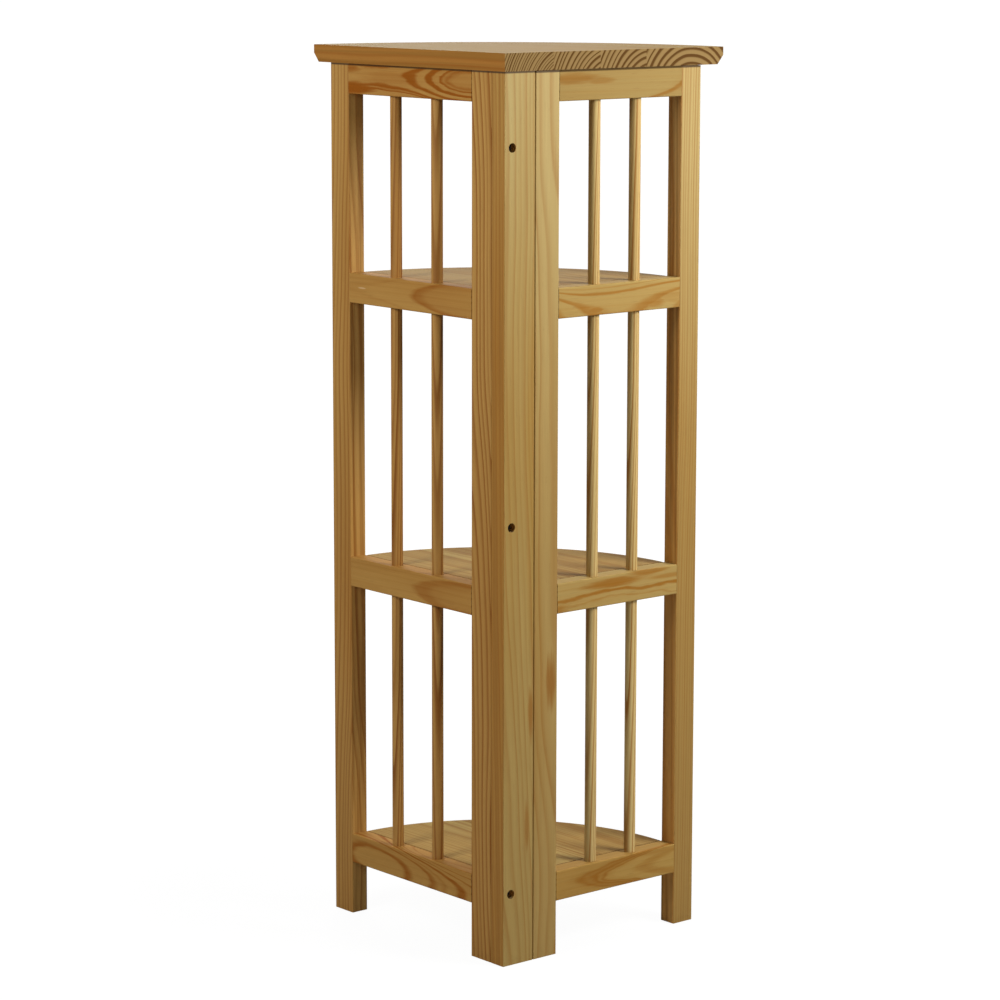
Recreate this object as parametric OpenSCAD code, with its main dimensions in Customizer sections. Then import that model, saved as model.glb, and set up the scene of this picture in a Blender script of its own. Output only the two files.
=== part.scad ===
// Corner folding bookcase in clear-finished pine.
// Two ladder panels meet at a corner, and three quarter-round shelves and a top board lie between them.
// X runs along the right panel, Y along the left panel, Z up. The room corner is at low X and low Y.

/* [Panels] */
// Height of the posts
post_h = 960; // [900:5:1100]
// Length of the left panel along the wall, corner board included
left_span = 297; // [270:1:340]
// Length of the right panel along the wall, corner board included
right_span = 279; // [255:1:320]
// Thickness of posts, rails and corner board
stock_t = 21; // [19:0.5:24]
// Width of the left panel's outer post
left_outer_w = 32; // [26:1:38]
// Width of the right panel's outer post
right_outer_w = 28.5; // [24:0.5:36]
// Width of the two posts beside the corner
corner_post_w = 33; // [28:1:36]
// Width of the corner board, which leaves room for the folded cleats
corner_board_w = 42; // [42:0.5:50]
// Radius of the rounded long edges
arris_r = 1.2; // [0.6:0.1:2]

/* [Rails] */
// Height of a rail
rail_h = 33; // [28:1:38]
// Height of the bottom rails above the floor
foot_h = 59.5; // [40:0.5:80]
// Open height of the lower and the middle bay
bay_h = 286; // [250:1:300]
// Thickness of a rail's tenon
tenon_t = 9; // [7:0.5:11]
// Length of a rail's tenon
tenon_l = 12; // [10:0.5:14]
// Shoulder above and below a tenon
tenon_shoulder = 6; // [4:0.5:8]

/* [Dowels] */
// Diameter of the upright dowels
dowel_d = 12.7; // [10:0.1:15]
// Number of dowels in each bay of a panel
dowel_n = 2; // [1:1:3]
// Depth of a dowel's socket in a rail
dowel_seat = 8; // [6:0.5:12]

/* [Shelves] */
// Thickness of a shelf
shelf_t = 15.7; // [14:0.1:18]
// Radius of a shelf's curved front
shelf_bow_r = 236; // [225:1:300]
// Gap between a shelf's straight edges and the panels
shelf_gap = 0.4; // [0.3:0.1:2]
// Width of the break along a shelf's curved front
shelf_break = 1.5; // [0.5:0.1:3]
// Gap between a shelf and the cleats under it
seat_gap = 0.3; // [0.2:0.05:0.5]

/* [Cleats] */
// Thickness of a cleat, from the rail inward
cleat_t = 10; // [8:0.5:10.5]
// Height of a cleat
cleat_h = 15; // [10:0.5:15.5]
// Distance from a cleat's end to the post beside it
cleat_inset = 9; // [4:1:20]
// Distance from a cleat's end to its nearer screw
cleat_screw_inset = 24; // [12:1:30]
// Diameter of a cleat screw
cleat_screw_d = 3.5; // [3:0.1:4]
// Length of a cleat screw
cleat_screw_l = 24; // [18:1:28]

/* [Top board] */
// Thickness of the top board
top_t = 19; // [16:0.5:22]
// Reach of the top board past the left outer post
top_over_left = 30; // [20:1:40]
// Reach of the top board past the right outer post
top_over_right = 33; // [20:1:40]
// Radius of the top board's curved front
top_bow_r = 300; // [285:1:360]
// Height of the bevel under the curved front
bevel_h = 10; // [5:0.5:13]
// Depth of the bevel under the curved front
bevel_d = 8.5; // [4:0.5:12]
// Diameter of the pegs that locate the top board
peg_d = 9.5; // [8:0.5:11]
// Length of a peg below the top board
peg_l = 14; // [10:1:20]
// Depth of a peg in the top board
peg_seat = 9; // [6:0.5:12]
// Clearance around a peg in its post
peg_gap = 0.3; // [0.2:0.05:0.5]

/* [Corner screws] */
// Number of screws through the corner board
corner_screw_n = 3; // [2:1:5]
// Distance of the end screws from the board's ends
corner_screw_end = 79; // [50:1:120]
// Diameter of the screw's shank
corner_screw_d = 4.5; // [4:0.1:5.5]
// Length of the screw below its head
corner_screw_l = 33; // [26:1:34]
// Diameter of the counterbore
counterbore_d = 10; // [9:0.5:12]
// Depth of the counterbore
counterbore_h = 7; // [4:0.5:10]

/* [Panel hinges] */
// Number of hinges between the corner board and the right panel
hinge_n = 3; // [2:1:3]
// Height of the lowest hinge's middle
hinge_low_z = 190; // [150:5:240]
// Distance from the highest hinge's middle to the post's top
hinge_high_drop = 115; // [80:5:150]
// Length of a hinge
hinge_l = 50; // [40:1:60]
// Knuckles in one hinge
knuckle_n = 5; // [3:2:7]
// Radius of the barrel
barrel_r = 2.8; // [2.4:0.1:3.2]
// Radius of the hinge pin
hinge_pin_r = 1.3; // [1:0.05:1.5]
// Thickness of a leaf
leaf_t = 1.2; // [0.8:0.1:1.5]
// Width of a leaf, from the barrel outward
leaf_w = 14; // [12:0.5:16]
// Diameter of a hinge screw
hinge_screw_d = 2.6; // [2:0.1:3]
// Length of a hinge screw
hinge_screw_l = 13; // [8:1:16]

/* [Clearances] */
// Gap between the corner board and the right panel
fold_gap = 0.7; // [0.5:0.1:1.2]
// Gap between the right panel and the top board above it
sweep_gap = 0.4; // [0.3:0.1:0.8]
// Clearance around tenons, dowels and screws in their holes
joint_gap = 0.05; // [0.02:0.01:0.1]
// Clearance of a hinge pin in its knuckles
pin_gap = 0.05; // [0.02:0.01:0.1]
// Clearance between knuckles, and between a barrel and the wood
knuckle_gap = 0.3; // [0.2:0.05:0.4]

/* [Hidden] */
$fn = 64;

// Wood and metal colours
pine = "burlywood";
pine_deep = "peru";
pine_light = "wheat";
zinc = "silver";
steel = "dimgray";
// Reach of a cut past the face that it opens
cut = 1;

// Undersides of the bottom, middle, upper and top rails
rail_z = [foot_h, foot_h + rail_h + bay_h, foot_h + 2 * (rail_h + bay_h), post_h - rail_h];
// Tops of the three shelves, flush with the rails beside them
shelf_z = [for (i = [0:2]) rail_z[i] + rail_h];

// Clear lengths of the rails, along Y on the left panel and along X on the right one
left_rail_a = stock_t + corner_post_w;
left_rail_b = left_span - left_outer_w;
right_post_x = corner_board_w + fold_gap;
right_rail_a = right_post_x + corner_post_w;
right_rail_b = right_span - right_outer_w;
right_post_h = post_h - sweep_gap;

// Straight edges of the shelves and the two ends of their curved front
shelf_edge = stock_t + shelf_gap;
shelf_c = bow_centre([shelf_edge, left_rail_b], [right_rail_b, shelf_edge], shelf_bow_r);

// Top board's curved front and the middle of its bounding box, where the origin stands
top_c = bow_centre([0, left_span + top_over_left], [right_span + top_over_right, 0], top_bow_r);
mid_x = (top_c[0] + top_bow_r) / 2;
mid_y = (top_c[1] + top_bow_r) / 2;

// Hinge axis, just inside the joint between the corner board and the right panel
axis_y = stock_t + barrel_r + knuckle_gap;
knuckle_l = hinge_l / knuckle_n;
hinge_high_z = post_h - hinge_high_drop;
hinge_z = [for (i = [0:hinge_n - 1]) hinge_low_z + i * (hinge_high_z - hinge_low_z) / (hinge_n - 1)];
// Places of a leaf's screws, as shares of its width and of the hinge's length
leaf_screw_out = 0.58;
leaf_screw_up = 0.32;
leaf_screw_x = barrel_r + knuckle_gap + leaf_w * leaf_screw_out;
leaf_screw_z = hinge_l * leaf_screw_up;
leaf_countersink_r = hinge_screw_d / 2 + leaf_t;
// Overlap of a knuckle's strap with its leaf
strap_lap = 1;

// Pegs stand in the two left posts, in the middle of the wood that the rails' tenons leave
peg_y = [stock_t + (corner_post_w - tenon_l) / 2, left_span - (left_outer_w - tenon_l) / 2];
// Room under a peg in its hole
peg_room = 1;
// Height of the taper at a peg's lower end
peg_tip = 1.5;

// Cleats and the screws in them, heads flush with the cleat
cleat_top = [for (z = shelf_z) z - shelf_t - seat_gap];
cleat_screw_in = cleat_inset + cleat_screw_inset;
cleat_head_r = cleat_screw_d;

// Height of a corner screw's head, and the gap between it and its counterbore
corner_head_h = 3.2;
corner_head_gap = 0.6;
corner_head_r = counterbore_d / 2 - corner_head_gap;
corner_screw_z = [for (i = [0:corner_screw_n - 1])
    corner_screw_end + i * (post_h - 2 * corner_screw_end) / (corner_screw_n - 1)];

// Centre of the circle of radius r through a and b, on the room corner's side of the line between them
function bow_centre(a, b, r) =
    let (half = (b - a) / 2, rise = sqrt(r * r - half * half), side = [half[1], -half[0]] / norm(half))
    a + half + side * rise;

// Places spread evenly over a clear length, without its ends
function spread(a, b, n) = [for (i = [1:n]) a + i * (b - a) / (n + 1)];

// Rectangle with rounded corners, from the origin
module rounded_rect(w, h, r) {
    translate([r, 0]) square([w - 2 * r, h]);
    translate([0, r]) square([w, h - 2 * r]);
    for (x = [r, w - r], y = [r, h - r]) translate([x, y]) circle(r);
}

// Upright board with rounded long edges
module upright(w, d, h) {
    linear_extrude(h) rounded_rect(w, d, arris_r);
}

// Bar along Y with rounded long edges, from the origin
module bar_y(w, l, h) {
    translate([0, l, 0]) rotate([90, 0, 0]) linear_extrude(l) rounded_rect(w, h, arris_r);
}

// Bar along X with rounded long edges, from the origin
module bar_x(l, w, h) {
    rotate([90, 0, 90]) linear_extrude(l) rounded_rect(w, h, arris_r);
}

// Wood screw along +Z with a countersunk head whose top lies at z = 0
module wood_screw(d, l, head_r, head_h) {
    rotate([180, 0, 0]) rotate_extrude()
        polygon([[0, 0], [head_r, 0], [d / 2, head_h], [d / 2, l - d], [0, l]]);
}

// Hole for such a screw, open above its head
module screw_hole(d, l, head_r, head_h, open) {
    g = joint_gap;
    rotate([180, 0, 0]) rotate_extrude()
        polygon([[0, -open], [head_r + g, -open], [head_r + g, 0], [d / 2 + g, head_h], [d / 2 + g, l + g],
            [0, l + g]]);
}

// Cleat screws as they lie in the left panel, heads flush with the cleat and clear of the dowels
module place_left_cleat_screws(i) {
    for (y = [left_rail_a + cleat_screw_in, left_rail_b - cleat_screw_in])
        translate([stock_t + cleat_t, y, cleat_top[i] - cleat_h / 2]) rotate([0, 90, 0]) children();
}

// Cleat screws as they lie in the right panel
module place_right_cleat_screws(i) {
    for (x = [right_rail_a + cleat_screw_in, right_rail_b - cleat_screw_in])
        translate([x, stock_t + cleat_t, cleat_top[i] - cleat_h / 2]) rotate([-90, 0, 0]) children();
}

// Corner screw, its head at the bottom of the counterbore in the middle of the left panel's thickness
module place_corner_screws() {
    for (z = corner_screw_z) translate([stock_t / 2, counterbore_h, z]) rotate([90, 0, 0]) children();
}

// Tenons of all rails, which the posts are cut by with g of clearance
module left_tenons(g) {
    for (z = rail_z)
        translate([(stock_t - tenon_t) / 2 - g, left_rail_a - tenon_l - g, z + tenon_shoulder - g])
            cube([tenon_t + 2 * g, left_rail_b - left_rail_a + 2 * (tenon_l + g), rail_h - 2 * tenon_shoulder + 2 * g]);
}

module right_tenons(g) {
    for (z = rail_z)
        translate([right_rail_a - tenon_l - g, (stock_t - tenon_t) / 2 - g, z + tenon_shoulder - g])
            cube([right_rail_b - right_rail_a + 2 * (tenon_l + g), tenon_t + 2 * g,
                rail_h - 2 * tenon_shoulder + 2 * g]);
}

// Pins of the dowels in bay i, with g of clearance
module left_dowel_bay(i, g) {
    for (y = spread(left_rail_a, left_rail_b, dowel_n))
        translate([stock_t / 2, y, rail_z[i] + rail_h - dowel_seat - g])
            cylinder(d = dowel_d + 2 * g, h = rail_z[i + 1] - rail_z[i] - rail_h + 2 * (dowel_seat + g));
}

module right_dowel_bay(i, g) {
    for (x = spread(right_rail_a, right_rail_b, dowel_n))
        translate([x, stock_t / 2, rail_z[i] + rail_h - dowel_seat - g])
            cylinder(d = dowel_d + 2 * g, h = rail_z[i + 1] - rail_z[i] - rail_h + 2 * (dowel_seat + g));
}

// Peg holes in the tops of the left posts
module peg_holes() {
    for (y = peg_y)
        translate([stock_t / 2, y, post_h - peg_l - peg_room])
            cylinder(d = peg_d + 2 * peg_gap, h = peg_l + peg_room + cut);
}

// Left panel
module left_corner_post() {
    color(pine_deep) difference() {
        translate([0, stock_t, 0]) upright(stock_t, corner_post_w, post_h);
        left_tenons(joint_gap);
        peg_holes();
        place_corner_screws() screw_hole(corner_screw_d, corner_screw_l, corner_head_r, corner_head_h, cut);
    }
}

module left_outer_post() {
    color(pine_deep) difference() {
        translate([0, left_rail_b, 0]) upright(stock_t, left_outer_w, post_h);
        left_tenons(joint_gap);
        peg_holes();
    }
}

// Rail i of the left panel, from the bottom up, with its tenons and dowel sockets
module left_rail(i) {
    difference() {
        union() {
            translate([0, left_rail_a, rail_z[i]]) bar_y(stock_t, left_rail_b - left_rail_a, rail_h);
            intersection() {
                left_tenons(0);
                translate([0, 0, rail_z[i]]) cube([stock_t, left_span, rail_h]);
            }
        }
        for (bay = [max(i - 1, 0):min(i, 2)]) left_dowel_bay(bay, joint_gap);
        if (i < 3) place_left_cleat_screws(i)
            screw_hole(cleat_screw_d, cleat_screw_l, cleat_head_r, cleat_screw_d / 2, cut);
    }
}

module left_bottom_rail() { color(pine) left_rail(0); }
module left_middle_rail() { color(pine) left_rail(1); }
module left_upper_rail() { color(pine) left_rail(2); }
module left_top_rail() { color(pine) left_rail(3); }
module left_dowels_lower() { color(pine_deep) left_dowel_bay(0, 0); }
module left_dowels_middle() { color(pine_deep) left_dowel_bay(1, 0); }
module left_dowels_upper() { color(pine_deep) left_dowel_bay(2, 0); }

// Corner board, screwed over the edge of the left panel
module corner_board() {
    color(pine_light) difference() {
        upright(corner_board_w, stock_t, post_h);
        place_corner_screws() cylinder(d = counterbore_d, h = counterbore_h + cut);
        place_corner_screws() screw_hole(corner_screw_d, corner_screw_l, corner_head_r, corner_head_h, cut);
        hinge_stations() leaf_screw_holes(-1);
    }
}

module corner_board_screws() {
    color(steel) place_corner_screws() wood_screw(corner_screw_d, corner_screw_l, corner_head_r, corner_head_h);
}

// Right panel
module right_corner_post() {
    color(pine_light) difference() {
        translate([right_post_x, 0, 0]) upright(corner_post_w, stock_t, right_post_h);
        right_tenons(joint_gap);
        hinge_stations() leaf_screw_holes(1);
    }
}

module right_outer_post() {
    color(pine_light) difference() {
        translate([right_rail_b, 0, 0]) upright(right_outer_w, stock_t, right_post_h);
        right_tenons(joint_gap);
    }
}

// Rail i of the right panel, from the bottom up; the top one stops level with its posts
module right_rail(i) {
    difference() {
        union() {
            translate([right_rail_a, 0, rail_z[i]])
                bar_x(right_rail_b - right_rail_a, stock_t, min(rail_h, right_post_h - rail_z[i]));
            intersection() {
                right_tenons(0);
                translate([0, 0, rail_z[i]]) cube([right_span, stock_t, rail_h]);
            }
        }
        for (bay = [max(i - 1, 0):min(i, 2)]) right_dowel_bay(bay, joint_gap);
        if (i < 3) place_right_cleat_screws(i)
            screw_hole(cleat_screw_d, cleat_screw_l, cleat_head_r, cleat_screw_d / 2, cut);
    }
}

module right_bottom_rail() { color(pine_light) right_rail(0); }
module right_middle_rail() { color(pine_light) right_rail(1); }
module right_upper_rail() { color(pine_light) right_rail(2); }
module right_top_rail() { color(pine_light) right_rail(3); }
module right_dowels_lower() { color(pine) right_dowel_bay(0, 0); }
module right_dowels_middle() { color(pine) right_dowel_bay(1, 0); }
module right_dowels_upper() { color(pine) right_dowel_bay(2, 0); }

// Hinges between the corner board and the right panel
// Each hinge is drawn about its own axis: the leaf to +X is the moving one, and the wood's face lies at -Y
module hinge_stations() {
    for (z = hinge_z) translate([corner_board_w, axis_y, z - hinge_l / 2]) children();
}

// Screw places on a leaf to the side s, +1 or -1
module leaf_screws(s) {
    for (z = [hinge_l / 2 - leaf_screw_z, hinge_l / 2 + leaf_screw_z])
        translate([s * leaf_screw_x, leaf_t - barrel_r - knuckle_gap, z]) rotate([-90, 0, 0]) children();
}

module leaf_screw_holes(s) {
    leaf_screws(s) screw_hole(hinge_screw_d, hinge_screw_l, leaf_countersink_r, leaf_t, cut);
}

// One leaf with the knuckles whose number, from the bottom, has the remainder first when halved
module leaf(s, first) {
    edge = barrel_r + knuckle_gap;
    difference() {
        union() {
            translate([s > 0 ? edge : -edge - leaf_w, -edge, 0]) cube([leaf_w, leaf_t, hinge_l]);
            for (k = [first:2:knuckle_n - 1]) {
                low = k * knuckle_l + (k == 0 ? 0 : knuckle_gap / 2);
                high = (k + 1) * knuckle_l - (k == knuckle_n - 1 ? 0 : knuckle_gap / 2);
                translate([0, 0, low]) {
                    cylinder(r = barrel_r, h = high - low);
                    translate([s > 0 ? 0 : -edge - strap_lap, -barrel_r, 0]) cube([edge + strap_lap, leaf_t, high - low]);
                }
            }
        }
        translate([0, 0, -cut]) cylinder(r = hinge_pin_r + pin_gap, h = hinge_l + 2 * cut);
        leaf_screw_holes(s);
    }
}

module hinge_fixed_leaves() { color(zinc) hinge_stations() leaf(-1, 0); }
module hinge_moving_leaves() { color(zinc) hinge_stations() leaf(1, 1); }
module hinge_pins() { color(steel) hinge_stations() cylinder(r = hinge_pin_r, h = hinge_l); }

module hinge_screws_fixed() {
    color(zinc) hinge_stations() leaf_screws(-1)
        wood_screw(hinge_screw_d, hinge_screw_l, leaf_countersink_r, leaf_t);
}

module hinge_screws_moving() {
    color(zinc) hinge_stations() leaf_screws(1)
        wood_screw(hinge_screw_d, hinge_screw_l, leaf_countersink_r, leaf_t);
}

// Cleat i of the left panel, under a shelf's straight edge
module left_cleat(i) {
    difference() {
        translate([stock_t, left_rail_a + cleat_inset, cleat_top[i] - cleat_h])
            bar_y(cleat_t, left_rail_b - left_rail_a - 2 * cleat_inset, cleat_h);
        place_left_cleat_screws(i) screw_hole(cleat_screw_d, cleat_screw_l, cleat_head_r, cleat_screw_d / 2, cut);
    }
}

// Cleat i of the right panel
module right_cleat(i) {
    difference() {
        translate([right_rail_a + cleat_inset, stock_t, cleat_top[i] - cleat_h])
            bar_x(right_rail_b - right_rail_a - 2 * cleat_inset, cleat_t, cleat_h);
        place_right_cleat_screws(i) screw_hole(cleat_screw_d, cleat_screw_l, cleat_head_r, cleat_screw_d / 2, cut);
    }
}

module left_bottom_cleat() { color(pine) left_cleat(0); }
module left_middle_cleat() { color(pine) left_cleat(1); }
module left_upper_cleat() { color(pine) left_cleat(2); }
module right_bottom_cleat() { color(pine_light) right_cleat(0); }
module right_middle_cleat() { color(pine_light) right_cleat(1); }
module right_upper_cleat() { color(pine_light) right_cleat(2); }

module left_cleat_screws() {
    color(zinc) for (i = [0:2]) place_left_cleat_screws(i)
        wood_screw(cleat_screw_d, cleat_screw_l, cleat_head_r, cleat_screw_d / 2);
}

module right_cleat_screws() {
    color(zinc) for (i = [0:2]) place_right_cleat_screws(i)
        wood_screw(cleat_screw_d, cleat_screw_l, cleat_head_r, cleat_screw_d / 2);
}

// Quarter-round shelf: a disc with broken edges, cut straight along the two panels
module shelf(i) {
    b = shelf_break;
    intersection() {
        translate([shelf_c[0], shelf_c[1], shelf_z[i] - shelf_t]) rotate_extrude($fn = 180)
            polygon([[0, 0], [shelf_bow_r - b, 0], [shelf_bow_r, b], [shelf_bow_r, shelf_t - b],
                [shelf_bow_r - b, shelf_t], [0, shelf_t]]);
        translate([shelf_edge, shelf_edge, shelf_z[i] - shelf_t - cut])
            cube([right_span, left_span, shelf_t + 2 * cut]);
    }
}

module bottom_shelf() { color(pine) shelf(0); }
module middle_shelf() { color(pine) shelf(1); }
module upper_shelf() { color(pine) shelf(2); }

// Top board: square edges along the walls and a bevel under the curved front
module top_board() {
    color(pine) difference() {
        intersection() {
            translate([top_c[0], top_c[1], post_h]) rotate_extrude($fn = 180)
                polygon([[0, 0], [top_bow_r - bevel_d, 0], [top_bow_r, bevel_h], [top_bow_r, top_t], [0, top_t]]);
            translate([0, 0, post_h - cut]) cube([2 * mid_x + cut, 2 * mid_y + cut, top_t + 2 * cut]);
        }
        for (y = peg_y)
            translate([stock_t / 2, y, post_h - cut])
                cylinder(d = peg_d + 2 * joint_gap, h = peg_seat + joint_gap + cut);
    }
}

// Pegs glued in the top board, with rounded lower ends
module top_pegs() {
    color(pine) for (y = peg_y) translate([stock_t / 2, y, post_h - peg_l]) rotate_extrude()
        polygon([[0, 0], [peg_d / 2 - peg_tip, 0], [peg_d / 2, peg_tip], [peg_d / 2, peg_l + peg_seat],
            [0, peg_l + peg_seat]]);
}

// The origin is on the floor, under the middle of the top board
module at_origin() {
    translate([-mid_x, -mid_y, 0]) children();
}

at_origin() left_corner_post();
at_origin() left_outer_post();
at_origin() left_bottom_rail();
at_origin() left_middle_rail();
at_origin() left_upper_rail();
at_origin() left_top_rail();
at_origin() left_dowels_lower();
at_origin() left_dowels_middle();
at_origin() left_dowels_upper();
at_origin() corner_board();
at_origin() corner_board_screws();
at_origin() right_corner_post();
at_origin() right_outer_post();
at_origin() right_bottom_rail();
at_origin() right_middle_rail();
at_origin() right_upper_rail();
at_origin() right_top_rail();
at_origin() right_dowels_lower();
at_origin() right_dowels_middle();
at_origin() right_dowels_upper();
at_origin() hinge_fixed_leaves();
at_origin() hinge_moving_leaves();
at_origin() hinge_pins();
at_origin() hinge_screws_fixed();
at_origin() hinge_screws_moving();
at_origin() left_bottom_cleat();
at_origin() left_middle_cleat();
at_origin() left_upper_cleat();
at_origin() left_cleat_screws();
at_origin() right_bottom_cleat();
at_origin() right_middle_cleat();
at_origin() right_upper_cleat();
at_origin() right_cleat_screws();
at_origin() bottom_shelf();
at_origin() middle_shelf();
at_origin() upper_shelf();
at_origin() top_board();
at_origin() top_pegs();
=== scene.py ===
import math

import bpy
from mathutils import Euler, Matrix, Quaternion, Vector


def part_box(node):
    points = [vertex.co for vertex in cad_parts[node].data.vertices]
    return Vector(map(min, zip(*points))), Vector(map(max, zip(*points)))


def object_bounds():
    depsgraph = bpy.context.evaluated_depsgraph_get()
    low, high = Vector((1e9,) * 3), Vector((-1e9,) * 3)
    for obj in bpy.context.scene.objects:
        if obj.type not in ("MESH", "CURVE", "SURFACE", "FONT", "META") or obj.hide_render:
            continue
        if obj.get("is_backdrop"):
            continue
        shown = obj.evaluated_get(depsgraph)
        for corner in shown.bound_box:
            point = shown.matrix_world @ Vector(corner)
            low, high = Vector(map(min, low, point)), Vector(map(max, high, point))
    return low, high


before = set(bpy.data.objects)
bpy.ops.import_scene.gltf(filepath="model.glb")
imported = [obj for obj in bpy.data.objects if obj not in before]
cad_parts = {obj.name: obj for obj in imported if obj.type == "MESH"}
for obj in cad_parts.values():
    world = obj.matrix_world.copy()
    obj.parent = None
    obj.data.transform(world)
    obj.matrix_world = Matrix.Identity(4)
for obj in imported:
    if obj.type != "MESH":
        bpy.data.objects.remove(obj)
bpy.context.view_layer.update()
print("frame loaded, nodes:", len(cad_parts))

# Camera: behind the room corner, a little above the top board
cameraSettings = {
    "place": (-2.43123, -2.85788, 1.11451),
    "heading": 49.896,  # degrees from +X towards +Y
    "pitch": -9.204,
    "roll": 0.098,
    "lens": 122.13,
    "sensor": 36.0,
    "shiftY": -0.03,
}


def makeCamera(s):
    data = bpy.data.cameras.new("bookcaseCamera")
    data.lens = s["lens"]
    data.sensor_width = s["sensor"]
    data.shift_y = s["shiftY"]
    cam = bpy.data.objects.new("bookcaseCamera", data)
    bpy.context.scene.collection.objects.link(cam)
    heading, pitch = math.radians(s["heading"]), math.radians(s["pitch"])
    look = Vector((math.cos(heading) * math.cos(pitch), math.sin(heading) * math.cos(pitch), math.sin(pitch)))
    cam.location = s["place"]
    turn = look.to_track_quat("-Z", "Y") @ Quaternion((0, 0, 1), math.radians(s["roll"]))
    cam.rotation_euler = turn.to_euler()
    bpy.context.scene.camera = cam


makeCamera(cameraSettings)
bpy.context.scene.view_settings.view_transform = "Standard"
print("camera placed")


# Small helpers for node trees
def addNode(tree, kind, **values):
    node = tree.nodes.new(kind)
    for name, value in values.items():
        setattr(node, name, value)
    return node


def put(tree, socket, value):  # a number, a colour or another node's output
    if isinstance(value, bpy.types.NodeSocket):
        tree.links.new(value, socket)
    else:
        socket.default_value = value


def mathNode(tree, operation, a, b=0.0, clamp=False):
    node = addNode(tree, "ShaderNodeMath", operation=operation, use_clamp=clamp)
    put(tree, node.inputs[0], a)
    put(tree, node.inputs[1], b)
    return node.outputs[0]


def addScaled(tree, total, value, factor):
    return mathNode(tree, "ADD", total, mathNode(tree, "MULTIPLY", value, factor))


def vectorNode(tree, operation, a, b=(0, 0, 0)):
    node = addNode(tree, "ShaderNodeVectorMath", operation=operation)
    put(tree, node.inputs[0], a)
    put(tree, node.inputs[1], b)
    return node.outputs["Value"] if operation in ("DOT_PRODUCT", "LENGTH") else node.outputs["Vector"]


def awayFrom(tree, place, centre, sizes):  # way from a centre, counted in the half sizes of a patch
    return vectorNode(tree, "DIVIDE", vectorNode(tree, "SUBTRACT", place, centre), sizes)


def facing(tree, normal, axis):  # 1 where the surface looks along the axis, either way
    return mathNode(tree, "ABSOLUTE", vectorNode(tree, "DOT_PRODUCT", normal, axis))


def noiseNode(tree, vector, scales, detail=2.0, roughness=0.5, output="Fac"):
    node = addNode(tree, "ShaderNodeTexNoise", noise_dimensions="3D")
    put(tree, node.inputs["Vector"], vectorNode(tree, "MULTIPLY", vector, scales))
    node.inputs["Scale"].default_value = 1.0
    node.inputs["Detail"].default_value = detail
    node.inputs["Roughness"].default_value = roughness
    return node.outputs[output]


def rangeNode(tree, value, low, high, newLow=0.0, newHigh=1.0, smooth=True):
    node = addNode(tree, "ShaderNodeMapRange", interpolation_type="SMOOTHSTEP" if smooth else "LINEAR")
    sockets = ("Value", "From Min", "From Max", "To Min", "To Max")
    for name, v in zip(sockets, (value, low, high, newLow, newHigh)):
        put(tree, node.inputs[name], v)
    return node.outputs["Result"]


def mixColour(tree, factor, a, b, blend="MIX"):
    node = addNode(tree, "ShaderNodeMix", data_type="RGBA", blend_type=blend)
    put(tree, node.inputs[0], factor)
    put(tree, node.inputs[6], a)
    put(tree, node.inputs[7], b)
    return node.outputs[2]


def rampNode(tree, value, stops, interpolation="LINEAR"):
    node = addNode(tree, "ShaderNodeValToRGB")
    put(tree, node.inputs[0], value)
    ramp = node.color_ramp
    ramp.interpolation = interpolation
    while len(ramp.elements) < len(stops):
        ramp.elements.new(0.5)
    for element, (place, colour) in zip(ramp.elements, stops):
        element.position = place
        element.color = colour
    return node.outputs[0]


def grey(level):
    return (level, level, level, 1)


def newGroup(name, inputs, outputs):
    group = bpy.data.node_groups.new(name, "ShaderNodeTree")
    for label, kind, default in inputs:
        socket = group.interface.new_socket(name=label, in_out="INPUT", socket_type="NodeSocket" + kind)
        if default is not None:
            socket.default_value = default
    for label, kind in outputs:
        group.interface.new_socket(name=label, in_out="OUTPUT", socket_type="NodeSocket" + kind)
    return group, addNode(group, "NodeGroupInput"), addNode(group, "NodeGroupOutput")


# Growth rings and fibres of pine, in a space whose Z runs along the grain and whose axis is the pith
figureSettings = {
    "bendScale": (5.0, 5.0, 2.3),  # slow sweep of the rings, per metre
    "waveScale": (24.0, 24.0, 5.0),
    "fibreScale": (620.0, 620.0, 8.0),
    "toneScale": (17.0, 17.0, 1.4),
    "poreScale": (1500.0, 1500.0, 55.0),
    "poreRange": (0.69, 0.76),
    "unevenRate": 0.37,  # how fast wide and narrow years take turns, and by how many rings
    "unevenRings": 1.6,
    "yearShade": (0.5, 1.0),  # the palest and the darkest year's late wood
    "ringRamp": ((0.0, 0.6), (0.07, 0.2), (0.3, 0.05), (0.55, 0.26), (0.78, 0.8), (0.92, 1.0), (1.0, 0.65)),
}


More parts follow.
